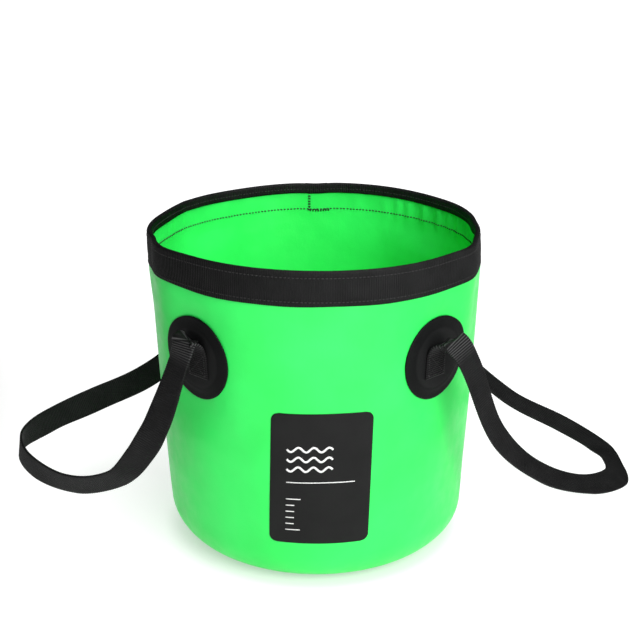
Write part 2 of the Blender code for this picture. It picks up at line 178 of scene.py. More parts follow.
# Thread: its thicknesses, the lengths of stitches, the hole between two, and how far a seam on the
# rim's webbing lies off the wall.
THREAD = 0.0009
HEM_THREAD = 0.0014
TACK_THREAD = 0.0028
STITCH = 0.0034
TACK_STITCH = 0.0028
BOX_STITCH = 0.0026
STITCH_HOLE = 0.0009
STITCH_LIFT = SEAT + BINDING_THICKNESS + RIB_HEIGHT * 0.7

# The pitch of the green cloth's scrim and of the webbing's yarns.
SCRIM_PITCH = 0.0011
YARN_PITCH = 0.00085

# How far the soft wall flares out all round the rim, and how deep that reaches.
RIM_FLARE = 0.0020
RIM_FLARE_REACH = 0.075

# Slow ripples round the wall: rise, count, start, and how far they turn with height.
RIPPLES = [(0.0006, 3, 0.7, 0), (0.0005, 7, 2.1, 9), (0.0003, 12, -0.5, -14)]

# Where the bucket was folded flat, its sides stand out: azimuth in degrees, then how far the wall
# stands out at each depth below the rim.
SIDES = [
    (-84.0, ((0.0, 0.0019), (0.029, 0.0017), (0.0345, 0.0037), (0.080, 0.0022), (0.255, 0.0013))),
    (84.0, ((0.0, -0.0022), (0.029, -0.0008), (0.0345, 0.0015), (0.080, 0.0016), (0.255, 0.0013))),
]
SIDE_WIDTH = 26.0

# Soft creases near the rim: azimuth in degrees, width in degrees, rise, and reach below the rim.
CREASES = [
    (-60.0, 9.5, 0.0042, 0.095),
    (-72.0, 4.0, -0.0007, 0.040),
    (-82.0, 4.0, 0.0005, 0.045),
    (-106.0, 14.0, -0.0036, 0.050),
    (-121.5, 3.0, 0.0009, 0.055),
    (-124.0, 8.0, -0.0006, 0.045),
    (61.0, 9.0, 0.0046, 0.105),
    (93.0, 7.0, -0.0014, 0.045),
    (116.0, 9.0, 0.0012, 0.045),
    (180.0, 5.0, -0.0014, 0.030),
]

# How the rounded foot departs from its round shape: azimuth and width in degrees, and rise.
FEET = [(-40.0, 34.0, -0.0022), (70.0, 16.0, 0.0012)]

# Where the webbing's inner edge hangs lower: azimuth and width in degrees, and drop.
FLAP_DROPS = [
    (-103.0, 11.0, 0.0011),
    (-147.0, 20.0, 0.0002),
    (122.0, 18.0, 0.0008),
    (95.0, 5.0, 0.0022),
]

# Where the lower edge of the rim's webbing stands higher: azimuth and width in degrees, and rise.
HEM_RISES = [(-58.0, 9.0, 0.0014), (52.0, 12.0, 0.0007)]

# Where the rim stands higher or lower: azimuth and width in degrees, and rise.
RIM_RISES = [
    (158.0, 28.0, 0.0017),
    (-165.0, 18.0, 0.0005),
    (180.0, 5.0, -0.0008),
    (-147.0, 16.0, -0.0005),
    (36.0, 26.0, -0.0008),
]

# Puckers of the hem between the rim's webbing and the seam: azimuth and width in degrees, depth.
PUCKERS = [
    (164.0, 2.2, 0.0008),
    (152.0, 1.8, 0.0007),
    (146.5, 1.5, 0.0013),
    (141.5, 1.6, 0.0015),
    (134.0, 1.8, 0.0018),
    (126.5, 1.7, 0.0016),
    (120.0, 1.5, 0.0013),
    (114.0, 1.6, 0.0014),
    (105.0, 1.8, 0.0010),
    (-168.0, 2.0, 0.0004),
    (-154.0, 1.8, 0.0005),
    (-143.0, 1.6, 0.0006),
    (-110.0, 1.8, 0.0007),
    (62.0, 2.0, 0.0006),
    (48.0, 1.6, 0.0005),
    (-30.0, 1.8, 0.0005),
    (-58.0, 2.0, 0.0006),
    (14.0, 1.8, 0.0004),
]


# Shapes.

def turn_from(azimuth, centre):
    """The angle from a centre azimuth, between half a turn either way."""
    return (azimuth - centre + pi) % (2 * pi) - pi


def hill(azimuth, centre, width):
    """A smooth hump of height 1 about an azimuth, all in degrees but the first."""
    return exp(-((turn_from(azimuth, radians(centre)) / radians(width)) ** 2))


def hills(azimuth, table):
    """The sum of a table's humps: azimuth and width in degrees, and height."""
    return sum(height * hill(azimuth, centre, width) for centre, width, height in table)


def share_of(value, low, high):
    """How far a value has come from low to high, kept between 0 and 1."""
    return min(max((value - low) / (high - low), 0.0), 1.0)


def ease(value, low, high):
    """0 below low, 1 above high, and smooth between."""
    share = share_of(value, low, high)
    return share * share * (3 - 2 * share)


def evenly(low, high, count):
    """Values at even steps from low to high, both included."""
    return [low + (high - low) * i / count for i in range(count + 1)]


def round_turns(count):
    """Evenly spaced azimuths of a whole turn, without its end."""
    return evenly(0, 2 * pi, count)[:-1]


def round_point(radius, azimuth, z):
    return Vector((radius * sin(azimuth), -radius * cos(azimuth), z))


def wall_radius(z):
    """The wall's outer radius at a height, above its rounded corner."""
    foot = BASE_RADIUS + CORNER_WIDTH
    share = share_of(z, CORNER_HEIGHT, SHOULDER_HEIGHT)
    return foot + (SHOULDER_RADIUS - foot) * share + WALL_BULGE * sin(pi * share)


def at_depth(profile, depth):
    """A smooth value between a profile's (depth, value) points."""
    for (above, first), (below, last) in zip(profile, profile[1:]):
        if depth <= below:
            return first + (last - first) * ease(depth, above, below)
    return profile[-1][1]


def sway(azimuth, z):
    """How far the soft wall stands out of its round shape."""
    depth = HEIGHT - z
    foot = ease(z, 0.0, CORNER_HEIGHT + 0.014)
    out = RIM_FLARE * exp(-((depth / RIM_FLARE_REACH) ** 2))
    for centre, profile in SIDES:
        out += at_depth(profile, depth) * hill(azimuth, centre, SIDE_WIDTH) * foot
    for centre, width, rise, reach in CREASES:
        out += rise * hill(azimuth, centre, width) * exp(-((depth / reach) ** 2))
    out += hills(azimuth, FEET) * (1 - ease(z, 0.015, 0.080))
    out -= patch_draw(azimuth, z)
    body = ease(z, 0.01, 0.10) * (1 - ease(z, 0.20, 0.27))
    for rise, count, start, twist in RIPPLES:
        out += rise * sin(count * azimuth + start + twist * z) * body
    return out


def patch_draw(azimuth, z):
    """How far the wall is drawn in behind the stiff patches, which hold it nearly flat."""
    inward = 0.0
    for centre, height, *_ in PATCHES.values():
        x = turn_from(azimuth, centre) * SHOULDER_RADIUS
        if abs(x) < PATCH_DRAW_WIDTH:
            near = ease(z, height - 0.085, height - 0.030)
            near *= 1 - ease(z, height + 0.030, height + 0.060)
            inward += PATCH_DRAW * near * cos(0.5 * pi * x / PATCH_DRAW_WIDTH) ** 2
    return inward


def pucker(azimuth, z):
    """How far the hem is drawn in by the seam."""
    depth = HEIGHT - z
    along = ease(depth, BINDING_INNER_DEPTH - 0.004, BINDING_INNER_DEPTH + 0.004)
    along *= 1 - ease(depth, HEM_SEAM_DEPTH - 0.004, HEM_SEAM_DEPTH + 0.012)
    return along * hills(azimuth, PUCKERS) if along > 0 else 0.0


def on_wall(azimuth, z, lift=0.0):
    """A point on the wall's outer face, lifted off it."""
    radius = wall_radius(z) + sway(azimuth, z) + lift
    rise = hills(azimuth, RIM_RISES) * ease(z, HEIGHT - 0.080, HEIGHT - 0.020)
    return round_point(radius, azimuth, z + rise)


def inner_wall(azimuth, z):
    """The lift from the wall's outer face to its inner one."""
    return -WALL_THICKNESS - pucker(azimuth, z)


def out_of(azimuth):
    """The level way out of the wall at an azimuth."""
    return round_point(1.0, azimuth, 0.0)


# Mesh helpers.

def object_of(name, points, faces, material, uv=None):
    """A smooth-shaded object; uv gives each face's corners in the order of its points."""
    data = bpy.data.meshes.new(name)
    data.from_pydata(points, [], faces)
    if uv is not None:
        layer = data.uv_layers.new(name="cloth")
        flat = [value for face in uv for corner in face for value in corner]
        layer.data.foreach_set("uv", flat)
    data.validate()
    data.shade_smooth()
    data.materials.append(material)
    made = bpy.data.objects.new(name, data)
    bpy.context.scene.collection.objects.link(made)
    return made


def grid(rows, ring, tube, across, along=None):
    """Points, faces and uv of a sheet of quads through rows of points.

    ring joins each row's last point to its first, and tube joins the last row to the first. across
    gives each column's uv place and along each row's, both with one more value where it closes.
    Without along, the distances between the rows' first points are taken.
    """
    if along is None:
        along = lengths_along([row[0] for row in rows], closed=tube)
    height = len(rows)
    width = len(rows[0])
    points = [tuple(point) for row in rows for point in row]
    faces = []
    uv = []
    for i in range(height if tube else height - 1):
        below = i * width
        above = (i + 1) % height * width
        for j in range(width if ring else width - 1):
            k = (j + 1) % width
            faces.append((below + j, below + k, above + k, above + j))
            corners = ((j, i), (j + 1, i), (j + 1, i + 1), (j, i + 1))
            uv.append([(across[x], along[y]) for x, y in corners])
    return points, faces, uv


def close_round(points, faces, uv, centre, first, columns, flip):
    """Triangles from a centre to a closed row of points, the first of which is given."""
    points.append(tuple(centre))
    for i in range(columns):
        pair = (first + i, first + (i + 1) % columns)
        faces.append((len(points) - 1, *(reversed(pair) if flip else pair)))
        uv.append(((0.0, 0.0), (0.001, 0.0), (0.0, 0.001)))


def lengths_along(points, closed=False):
    """The distance along a line of points at each one, and back at the first where it closes."""
    line = list(points) + ([points[0]] if closed else [])
    total = [0.0]
    for here, there in zip(line, line[1:]):
        total.append(total[-1] + (there - here).length)
    return total


def tube_faces(first, sides, rings):
    """The faces of a tube with closed ends, whose rings of points follow each other."""
    last = first + (rings - 1) * sides
    faces = [tuple(reversed(range(first, first + sides))), tuple(range(last, last + sides))]
    for low in range(first, last, sides):
        for j in range(sides):
            k = (j + 1) % sides
            faces.append((low + j, low + k, low + sides + k, low + sides + j))
    return faces


class Stitches:
    """One seam's stitches, gathered in one mesh."""

    SIDES = 6
    RINGS = 5

    def __init__(self):
        self.points = []
        self.faces = []

    def add(self, start, end, out, thread):
        """One stitch, which dives into the cloth at both of its ends."""
        along = (end - start).normalized()
        side = along.cross(out).normalized()
        self.faces += tube_faces(len(self.points), self.SIDES, self.RINGS)
        for share in evenly(0, 1, self.RINGS - 1):
            arch = sin(pi * share)
            middle = start.lerp(end, share) + out * thread * (0.62 * arch - 0.34)
            radius = thread / 2 * (0.62 + 0.38 * arch)
            for turn in round_turns(self.SIDES):
                offset = side * cos(turn) * radius + out * sin(turn) * radius * 0.85
                self.points.append(tuple(middle + offset))

    def line(self, place, length, seed, pitch=STITCH, thread=THREAD):
        """Stitches along a line; place gives the point and the way out at a distance along it."""
        chance = random.Random(seed)
        count = max(1, round(length / pitch))
        step = length / count
        for i in range(count):
            slip = chance.uniform(-0.06, 0.06) * step
            begin = i * step + STITCH_HOLE / 2 + slip
            finish = (i + 1) * step - STITCH_HOLE / 2 + slip
            start, out = place(max(begin, 0.0))
            end, _ = place(min(finish, length))
            self.add(start, end, out, thread)

    def build(self, name):
        return object_of(name, self.points, self.faces, THREAD_BLACK)


# Materials.

class Surface:
    """A material in the making: its nodes and its shader."""

    def __init__(self, name):
        self.material = bpy.data.materials.new(name)
        self.material.use_nodes = True
        self.tree = self.material.node_tree
        self.where = self.add("ShaderNodeTexCoord").outputs["Object"]

    def feed(self, socket, value):
        """Link a socket to the one that feeds it, or set its fixed value."""
        if isinstance(value, bpy.types.NodeSocket):
            self.tree.links.new(value, socket)
        else:
            socket.default_value = value

    def add(self, kind, inputs=None, **properties):
        """A node with its properties set, and its inputs fed by name or place."""
        node = self.tree.nodes.new(kind)
        for name, value in properties.items():
            setattr(node, name, value)
        for name, value in (inputs or {}).items():
            self.feed(node.inputs[name], value)
        return node

    def shade(self, inputs):
        """The material, once its shader's inputs are fed by name."""
        for name, value in inputs.items():
            self.feed(self.tree.nodes["Principled BSDF"].inputs[name], value)
        return self.material

    def noise(self, scale, detail, roughness=0.5):
        """A noise over the object."""
        inputs = {"Vector": self.where, "Scale": scale, "Detail": detail, "Roughness": roughness}
        return self.add("ShaderNodeTexNoise", inputs).outputs["Fac"]

    def spread(self, value, low=0.0, high=1.0, from_low=0.35, from_high=0.65):
        """A value's range moved to another; most of a noise lies in the range that is moved."""
        ranges = {"From Min": from_low, "From Max": from_high, "To Min": low, "To Max": high}
        return self.add("ShaderNodeMapRange", {"Value": value, **ranges}).outputs["Result"]

    def between(self, share, low, high):
        """A colour between two, by a share."""
        node = self.add("ShaderNodeMix", {"Factor": share}, data_type="RGBA")
        first, second = [socket for socket in node.inputs if socket.type == "RGBA"]
        first.default_value = (*low, 1.0)
        second.default_value = (*high, 1.0)
        return [socket for socket in node.outputs if socket.type == "RGBA"][0]

    def maths(self, operation, *values):
        node = self.add("ShaderNodeMath", dict(enumerate(values)), operation=operation)
        return node.outputs["Value"]

    def vector_maths(self, operation, *values):
        node = self.add("ShaderNodeVectorMath", dict(enumerate(values)), operation=operation)
        return node.outputs["Value" if operation == "LENGTH" else "Vector"]

    def wave(self, value, pitch):
        """A sine of a length in metres, from -1 to 1."""
        return self.maths("SINE", self.maths("MULTIPLY", value, 2 * pi / pitch))

    def bump(self, height, distance, below=None):
        """A bump by a height, on top of another bump's normal."""
        node = self.add("ShaderNodeBump", {"Height": height, "Distance": distance})
        if below is not None:
            self.feed(node.inputs["Normal"], below)
        return node.outputs["Normal"]

    def cloth(self):
        """The two lengths, in metres, of a place on a piece of cloth."""
        place = self.add("ShaderNodeUVMap", uv_map="cloth").outputs["UV"]
        parts = self.add("ShaderNodeSeparateXYZ", {"Vector": place})
        return parts.outputs["X"], parts.outputs["Y"]


def tarpaulin():
    """Coated cloth: satin green, with the scrim just telling through the coat."""
    skin = Surface("tarpaulin_green")
    broad = skin.spread(skin.noise(14.0, 3.0))
    across, along = skin.cloth()
    scrim = skin.maths("MAXIMUM", skin.wave(across, SCRIM_PITCH), skin.wave(along, SCRIM_PITCH))
    normal = skin.bump(scrim, 0.000012)
    for scale, height in ((320.0, 0.00012), (26.0, 0.0016)):
        normal = skin.bump(skin.noise(scale, 2.0), height, normal)
    return skin.shade({
        "Base Color": skin.between(broad, (0.027, 0.770, 0.101), (0.034, 0.850, 0.124)),
        "Roughness": skin.spread(skin.noise(90.0, 4.0), 0.36, 0.46),
        "Specular IOR Level": 0.28,
        "Normal": normal,
    })


def webbing(name, fold_highlight=None):
    """Woven webbing: ribs across it, and the fine yarns that run over them. The rib crests are
    painted lighter and the grooves darker: painted highlight and shade.

    Between the two distances along it that the second argument gives, the rib crests are painted
    lighter still: a painted highlight where the webbing bends over a handle's fold.
    """
    skin = Surface(name)
    along, across = skin.cloth()
    rib = skin.wave(along, RIB_PITCH)
    weave = skin.maths("MULTIPLY", skin.wave(across, YARN_PITCH), rib)
    fuzz = skin.noise(1800.0, 2.0, 0.6)
    patchy = skin.noise(60.0, 3.0)
    # Painted highlight and shade: the rib crests and the yarns over them are lighter and the
    # grooves darker; the fuzz and the patches add random tone.
    lit = skin.maths("ADD", rib, skin.maths("MULTIPLY", weave, 0.6))
    lit = skin.maths("ADD", lit, skin.spread(fuzz, -0.8, 0.8))
    lit = skin.maths("ADD", lit, skin.spread(patchy, -0.4, 0.4))
    share = skin.spread(lit, 0.0, 0.18, -0.7, 1.7)
    # Painted highlight: over the handles' folds the rib crests are lighter, as where the webbing
    # bends towards the light.
    if fold_highlight:
        begin, finish = fold_highlight
        highlight_begins = skin.spread(along, 0.0, 1.0, begin, begin + 0.006)
        closed = skin.spread(along, 1.0, 0.0, finish - 0.012, finish)
        fold_highlight_span = skin.maths("MULTIPLY", highlight_begins, closed)
        crest_highlight = skin.spread(rib, 0.0, 0.8, 0.0, 1.0)
        share = skin.maths("ADD", share, skin.maths("MULTIPLY", fold_highlight_span, crest_highlight))
    return skin.shade({
        "Base Color": skin.between(share, (0.0004, 0.0004, 0.0005), (0.0620, 0.0620, 0.0630)),
        "Roughness": skin.spread(fuzz, 0.42, 0.60),
        "Specular IOR Level": 0.16,
        "Normal": skin.bump(fuzz, 0.00010, skin.bump(weave, 0.00010)),
    })


def moulded(name, dark, light, roughness, grain, plateau=None):
    """A moulded or coated black skin with a fine grain; outside a plateau's radius it is darker,
    painted shade on a sloping flange.
    """
    skin = Surface(name)
    tone = skin.spread(skin.noise(35.0, 3.0), 0.0, 0.3 if plateau else 1.0)
    # Painted shade: outside the plateau the sloping flange is darker, the shade of a face turned
    # away from the light.
    if plateau:
        _, radius = skin.cloth()
        raised = skin.spread(radius, 0.7, 0.0, plateau - 0.0006, plateau + 0.0016)
        tone = skin.maths("ADD", tone, raised)
    fine = skin.noise(900.0, 3.0)
    return skin.shade({
        "Base Color": skin.between(tone, dark, light),
        "Roughness": skin.spread(fine, roughness - 0.05, roughness + 0.06),
        "Specular IOR Level": 0.08,
        "Normal": skin.bump(fine, grain),
    })


def plain(name, dark, light, roughness, relief, *texture):
    """A matte surface with one noise in its colour and its relief."""
    skin = Surface(name)
    grain = skin.noise(*texture)
    return skin.shade({
        "Base Color": skin.between(skin.spread(grain), dark, light),
        "Roughness": roughness,
        "Normal": skin.bump(grain, relief),
    })


GREEN = tarpaulin()
WEBBING = webbing("webbing_black")
# The handles' webbing carries a painted highlight on the ribs over its folds.
HANDLE_WEBBING = webbing("webbing_black_handles_fold_highlight", (0.027, 0.066))
# The patches' sloping flange is painted darker than their plateau: painted shade.
PATCH = moulded(
    "patch_black", (0.0028, 0.0032, 0.0032), (0.0108, 0.0112, 0.0112), 0.50, 0.00006, PATCH_PLATEAU
)
LABEL = moulded("label_black", (0.0108,) * 3, (0.0128,) * 3, 0.46, 0.00003)
THREAD_BLACK = plain("thread_black", (0.003,) * 3, (0.010,) * 3, 0.55, 0.00015, 2600.0, 1.0)
INK = plain("ink_white", (0.70, 0.70, 0.69), (0.84, 0.84, 0.83), 0.45, 0.00003, 500.0, 4.0, 0.6)


# The wall and the base.

def corner_points(inset, floor):
    """The rounded bottom corner: (radius, height) points from the base's edge upwards."""
    points = []
    for turn in evenly(0, 0.5 * pi, CORNER_STEPS)[:-1]:
        across = sin(turn) ** (2 / CORNER_POWER)
        up = 1 - cos(turn) ** (2 / CORNER_POWER)
        radius = BASE_RADIUS + (CORNER_WIDTH - inset) * across
        points.append((radius, floor + (CORNER_HEIGHT - floor) * up))
    return points


def seam_rise(azimuth):
    """The welded lap of the side seam, which stands a little proud between two grooves."""
    reach = abs(turn_from(azimuth, SIDE_SEAM)) * SHOULDER_RADIUS
    half = SIDE_SEAM_WIDTH / 2
    groove = SIDE_SEAM_GROOVE * exp(-(((reach - half) / SIDE_SEAM_GROOVE_WIDTH) ** 2))
    return SIDE_SEAM_RISE * (1 - ease(reach, half - 0.0008, half + 0.0004)) - groove


def wall_azimuths():
    """Azimuths round the wall, closer together at the side seam's edges."""
    turns = round_turns(WALL_COLUMNS)
    half = SIDE_SEAM_WIDTH / 2 / SHOULDER_RADIUS
    for edge in (SIDE_SEAM - half, SIDE_SEAM + half):
        turns += [edge + radians(0.15 * step) for step in range(-4, 5)]
    return sorted(turns)


def make_wall():
    """The whole soft wall as one cloth, turned in under the rim's webbing and onto the base."""
    floor = BASE_THICKNESS + SEAT
    turned_in = BASE_RADIUS - BASE_LAP
    heights = evenly(CORNER_HEIGHT, WALL_TOP, WALL_ROWS)
    azimuths = wall_azimuths()

    def low_row(radius, z):
        """A row of the corner, where the wall's sway fades out towards the base."""
        share = max((radius - BASE_RADIUS) / CORNER_WIDTH, 0.0)
        return [round_point(radius + sway(a, z) * share, a, z) for a in azimuths]

    rows = [low_row(turned_in, floor)]
    rows += [low_row(radius, z) for radius, z in corner_points(0.0, floor)]
    for z in heights:
        rows.append([on_wall(a, z, seam_rise(a) - pucker(a, z)) for a in azimuths])
    for z in reversed(heights):
        rows.append([on_wall(a, z, inner_wall(a, z)) for a in azimuths])
    for radius, z in reversed(corner_points(WALL_THICKNESS, floor)):
        rows.append(low_row(radius, z + WALL_THICKNESS))
    rows.append(low_row(turned_in, floor + WALL_THICKNESS))
    across = [SHOULDER_RADIUS * turn for turn in azimuths + [azimuths[0] + 2 * pi]]
    points, faces, uv = grid(rows, True, True, across)
    wall = object_of("bucket_wall", points, faces, GREEN, uv)
    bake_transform(wall)
    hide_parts("upper_wall", "middle_wall", "lower_wall", "bottom_corner")


def make_base():
    """The base panel: a disc with a rounded edge and a ring pressed into it by the weld."""
    ring = BASE_RADIUS - BASE_LAP - 0.006
    press = 0.0002
    flat = [(0.030, 0.0), (0.060, 0.0), (ring - 0.0015, 0.0), (ring - 0.0005, press)]
    flat += [(ring + 0.0005, press), (ring + 0.0015, 0.0)]
    outline = flat + [(BASE_RADIUS - 0.0006, 0.0)]
    top = BASE_THICKNESS
    middle = top / 2
    for turn in evenly(-0.5 * pi, 0.5 * pi, 6)[1:-1]:
        outline.append((BASE_RADIUS - middle + middle * cos(turn), middle + middle * sin(turn)))
    outline += [(radius, top - z) for radius, z in reversed(flat)]
    columns = 128
    rows = [[round_point(radius, a, z) for a in round_turns(columns)] for radius, z in outline]
    points, faces, uv = grid(rows, True, False, evenly(0, 2 * pi * BASE_RADIUS, columns))
    close_round(points, faces, uv, (0, 0, 0), 0, columns, True)
    close_round(points, faces, uv, (0, 0, top), (len(rows) - 1) * columns, columns, False)
    base = object_of("base_disc", points, faces, GREEN, uv)
    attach(base, "base")
    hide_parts("base_panel")


# The rim.

def rib_at(step):
    """How far a rib of webbing has risen at a step along it, from 0 to 1."""
    return 0.5 - 0.5 * cos(2 * pi * (step % RIB_STEPS) / RIB_STEPS)


def binding_profile(lift, thickness, short):
    """The section of webbing folded over the wall's top: (lift off the wall, height) points.

    It is closed: up the outer face, over the top, down the inner face and back along the wall.
    Both of its ends are short by the same length.
    """
    outer_end = BINDING_BOTTOM + short
    inner_end = HEIGHT - BINDING_INNER_DEPTH + short
    inside = -WALL_THICKNESS - SEAT - lift
    outside = SEAT + lift
    middle = (inside + outside) / 2
    half = (outside - inside) / 2 + thickness
    turn_height = HEIGHT - BINDING_THICKNESS - 0.0012 + lift / 2
    crown = HEIGHT - turn_height + lift * 0.2
    edge = thickness / 2
    profile = []
    for z in evenly(outer_end, turn_height, 12):
        # The webbing swells a little between its two seams.
        share = share_of(z, HEIGHT - HEM_SEAM_DEPTH, HEIGHT - RIM_SEAM_DEPTH)
        profile.append((outside + thickness + BINDING_PUFF * sin(pi * share), z))
    for turn in evenly(0, pi, 8)[1:-1]:
        profile.append((middle + half * cos(turn), turn_height + crown * sin(turn)))
    profile += [(inside - thickness, z) for z in reversed(evenly(inner_end, turn_height, 5))]
    profile += [(inside - edge, inner_end - edge * 0.6), (inside, inner_end)]
    profile += [(inside, turn_height), (outside, turn_height), (outside, outer_end)]
    profile += [(outside + edge, outer_end - edge * 0.6)]
    return profile


def hem_wave(azimuth):
    """How far the webbing's lower edge is from level."""
    rise = hills(azimuth, HEM_RISES)
    return rise + 0.0003 * sin(5 * azimuth + 1.0) + 0.0002 * sin(13 * azimuth) - 0.0006


def binding_rows(profile, azimuths):
    """A section's points swept round the rim: rows along the rim, one for each section point."""
    rows = []
    for lift, z in profile:
        outward = 1.0 if lift > -WALL_THICKNESS / 2 else -1.0
        shown = lift > SEAT * 2 or lift < -WALL_THICKNESS - SEAT * 2
        rib = RIB_HEIGHT * outward if shown else 0.0
        low = 1 - ease(z, BINDING_BOTTOM, BINDING_BOTTOM + 0.012)
        flap = 1 - ease(z, HEIGHT - BINDING_INNER_DEPTH, HEIGHT - 0.003) if outward < 0 else 0.0
        row = []
        for i, azimuth in enumerate(azimuths):
            height = z + hem_wave(azimuth) * low - hills(azimuth, FLAP_DROPS) * flap
            row.append(on_wall(azimuth, height, lift + rib_at(i) * rib))
        rows.append(row)
    return rows


def make_binding():
    """The rim's ribbed webbing."""
    ribs = round(2 * pi * SHOULDER_RADIUS / RIB_PITCH)
    columns = ribs * RIB_STEPS
    rows = binding_rows(binding_profile(0.0, BINDING_THICKNESS, 0.0), round_turns(columns))
    points, faces, uv = grid(rows, True, True, evenly(0, RIB_PITCH * ribs, columns))
    binding = object_of("rim_webbing", points, faces, WEBBING, uv)
    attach(binding, "rim")
    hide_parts("rim_binding")


def make_lap():
    """The end of the rim's webbing, lapped over its start at the back."""
    half = LAP_WIDTH / 2 / SHOULDER_RADIUS
    columns = round(LAP_WIDTH / RIB_PITCH) * RIB_STEPS
    profile = binding_profile(BINDING_THICKNESS, LAP_THICKNESS, 0.0005)
    rows = binding_rows(profile, evenly(pi - half, pi + half, columns))
    along = lengths_along([row[0] for row in rows], closed=True)
    points, faces, uv = grid(rows, False, True, evenly(0, LAP_WIDTH, columns), along)
    width = columns + 1
    starts = [i * width for i in range(len(rows))]
    for end in (starts[::-1], [place + columns for place in starts]):
        faces.append(end)
        uv.append([(0.0, along[place // width]) for place in end])
    lap = object_of("rim_webbing_lap", points, faces, WEBBING, uv)
    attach(lap, "rim")
    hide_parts("rim_lap")


def outer_spot(azimuth, z):
    """A stitch's place and its way out, on the outer face of the rim's webbing."""
    return on_wall(azimuth, z, STITCH_LIFT), out_of(azimuth)


def flap_spot(azimuth, z):
    """The same on the webbing's inner face."""
    return on_wall(azimuth, z, -WALL_THICKNESS - STITCH_LIFT), -out_of(azimuth)


def inner_spot(azimuth, z):
    """The same on the wall's inner face."""
    return on_wall(azimuth, z, inner_wall(azimuth, z)), -out_of(azimuth)


def round_seam(depth, spot, seed, thread=THREAD):
    """A seam of stitches round the rim, at a depth below its top."""

    def place(distance):
        return spot(distance / SHOULDER_RADIUS, HEIGHT - depth)

    seam = Stitches()
    seam.line(place, 2 * pi * SHOULDER_RADIUS, seed, thread=thread)
    return seam


def make_rim_seams():
    """The rim's two seams, seen on both faces, and the bar tacks of the lap."""
    pieces = [
        round_seam(RIM_SEAM_DEPTH, outer_spot, 3).build("rim_seam_top"),
        round_seam(HEM_SEAM_DEPTH, outer_spot, 4).build("rim_seam_low"),
        round_seam(RIM_SEAM_DEPTH, flap_spot, 5).build("rim_seam_top_inside"),
    ]
    hem = round_seam(HEM_SEAM_DEPTH, inner_spot, 6, HEM_THREAD)
    azimuth = radians(182.6)

    def back(distance):
        """The seam's end, which runs back over its start."""
        return inner_spot(azimuth - distance / SHOULDER_RADIUS, HEIGHT - HEM_SEAM_DEPTH - 0.0011)

    def down(distance):
        """The bar tack that goes down to the seam."""
        return inner_spot(azimuth, HEIGHT - BINDING_INNER_DEPTH + 0.001 - distance)

    tack = HEM_SEAM_DEPTH - BINDING_INNER_DEPTH + 0.003
    hem.line(back, 0.021, 7, TACK_STITCH, TACK_THREAD)
    hem.line(down, tack, 8, TACK_STITCH, TACK_THREAD)
    inside = hem.build("rim_seam_low_inside")
    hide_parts("rim_stitching")
    pieces.append(inside)

    lap_seam = Stitches()
    for side in (-1, 1):
        turn = pi + side * (LAP_WIDTH / 2 - 0.003) / SHOULDER_RADIUS

        def up(distance):
            z = BINDING_BOTTOM + 0.002 + distance
            return on_wall(turn, z, STITCH_LIFT + LAP_THICKNESS + SEAT), out_of(turn)

        lap_seam.line(up, 0.024, 9 + side, TACK_STITCH)
    pieces.append(lap_seam.build("rim_lap_stitches"))
    for piece in pieces:
        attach(piece, "rim")


# The label.

def label_place(x, z, lift):
    """A point of the label: x to the right of its middle and lift off its back."""
    lean = tan(LABEL_LEAN) * (z - (LABEL_BOTTOM + LABEL_TOP) / 2)
    return on_wall(LABEL_AZIMUTH + (x + lean) / wall_radius(z), z, SEAT + lift)


def make_label():
    """The panel: a thin skin with a rounded edge, welded to the wall."""
    columns = 48
    rows_up = 72
    edge = 0.0007
    height = LABEL_TOP - LABEL_BOTTOM
    rows = []
    # Rows crowd towards the rounded corners, and columns towards the sides.
    shares = [share - 0.26 * sin(2 * pi * share) / pi for share in evenly(0, 1, rows_up)]
    for z in [LABEL_BOTTOM + height * share for share in shares]:
        # Half the width here, with the corners rounded.
        inside = max(LABEL_CORNER - min(z - LABEL_BOTTOM, LABEL_TOP - z), 0.0)
        half = LABEL_WIDTH / 2 - LABEL_CORNER + sqrt(max(LABEL_CORNER**2 - inside**2, 0.0))
        front = []
        back = []
        for across in evenly(-1, 1, columns):
            x = half * (sin(across * pi / 2) * 0.35 + across * 0.65)
            side = min(half - abs(x), z - LABEL_BOTTOM, LABEL_TOP - z)
            lift = LABEL_THICKNESS * (0.35 + 0.65 * sqrt(share_of(side, 0, edge)))
            front.append(label_place(x, z, lift))
            back.append(label_place(x, z, 0.0))
        rows.append(front + back[::-1])
    level = evenly(0, LABEL_WIDTH, columns)
    around = level + level[::-1] + [0.0]
    points, faces, uv = grid(rows, True, False, around, [height * share for share in shares])
    width = len(rows[0])
    for first, flip in ((0, False), (rows_up * width, True)):
        for j in range(columns):
            behind = width - 1 - j
            end = [first + j, first + behind, first + behind - 1, first + j + 1]
            faces.append(end[::-1] if flip else end)
            uv.append(((0.0, 0.0), (0.0, 0.001), (0.001, 0.001), (0.001, 0.0)))
    label = object_of("label_skin", points, faces, LABEL, uv)
    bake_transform(label)
    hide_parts("label_panel")


def printed(name, strips):
    """Ink on the label: each strip is a line of (x, z) places with its own thickness."""
    points = []
    faces = []
    top = LABEL_THICKNESS + INK_THICKNESS
    section = ((-1, LABEL_THICKNESS), (1, LABEL_THICKNESS), (1, top), (-1, top))
    for line, weight in strips:
        faces += tube_faces(len(points), 4, len(line))
        for i, (x, z) in enumerate(line):
            before = line[max(i - 1, 0)]
            after = line[min(i + 1, len(line) - 1)]
            along = Vector((after[0] - before[0], after[1] - before[1])).normalized()
            side = Vector((-along.y, along.x)) * weight / 2
            for sign, lift in section:
                place = label_place(x + side.x * sign, z + side.y * sign, lift)
                points.append(tuple(place))
    made = object_of(name, points, faces, INK)
    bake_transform(made)


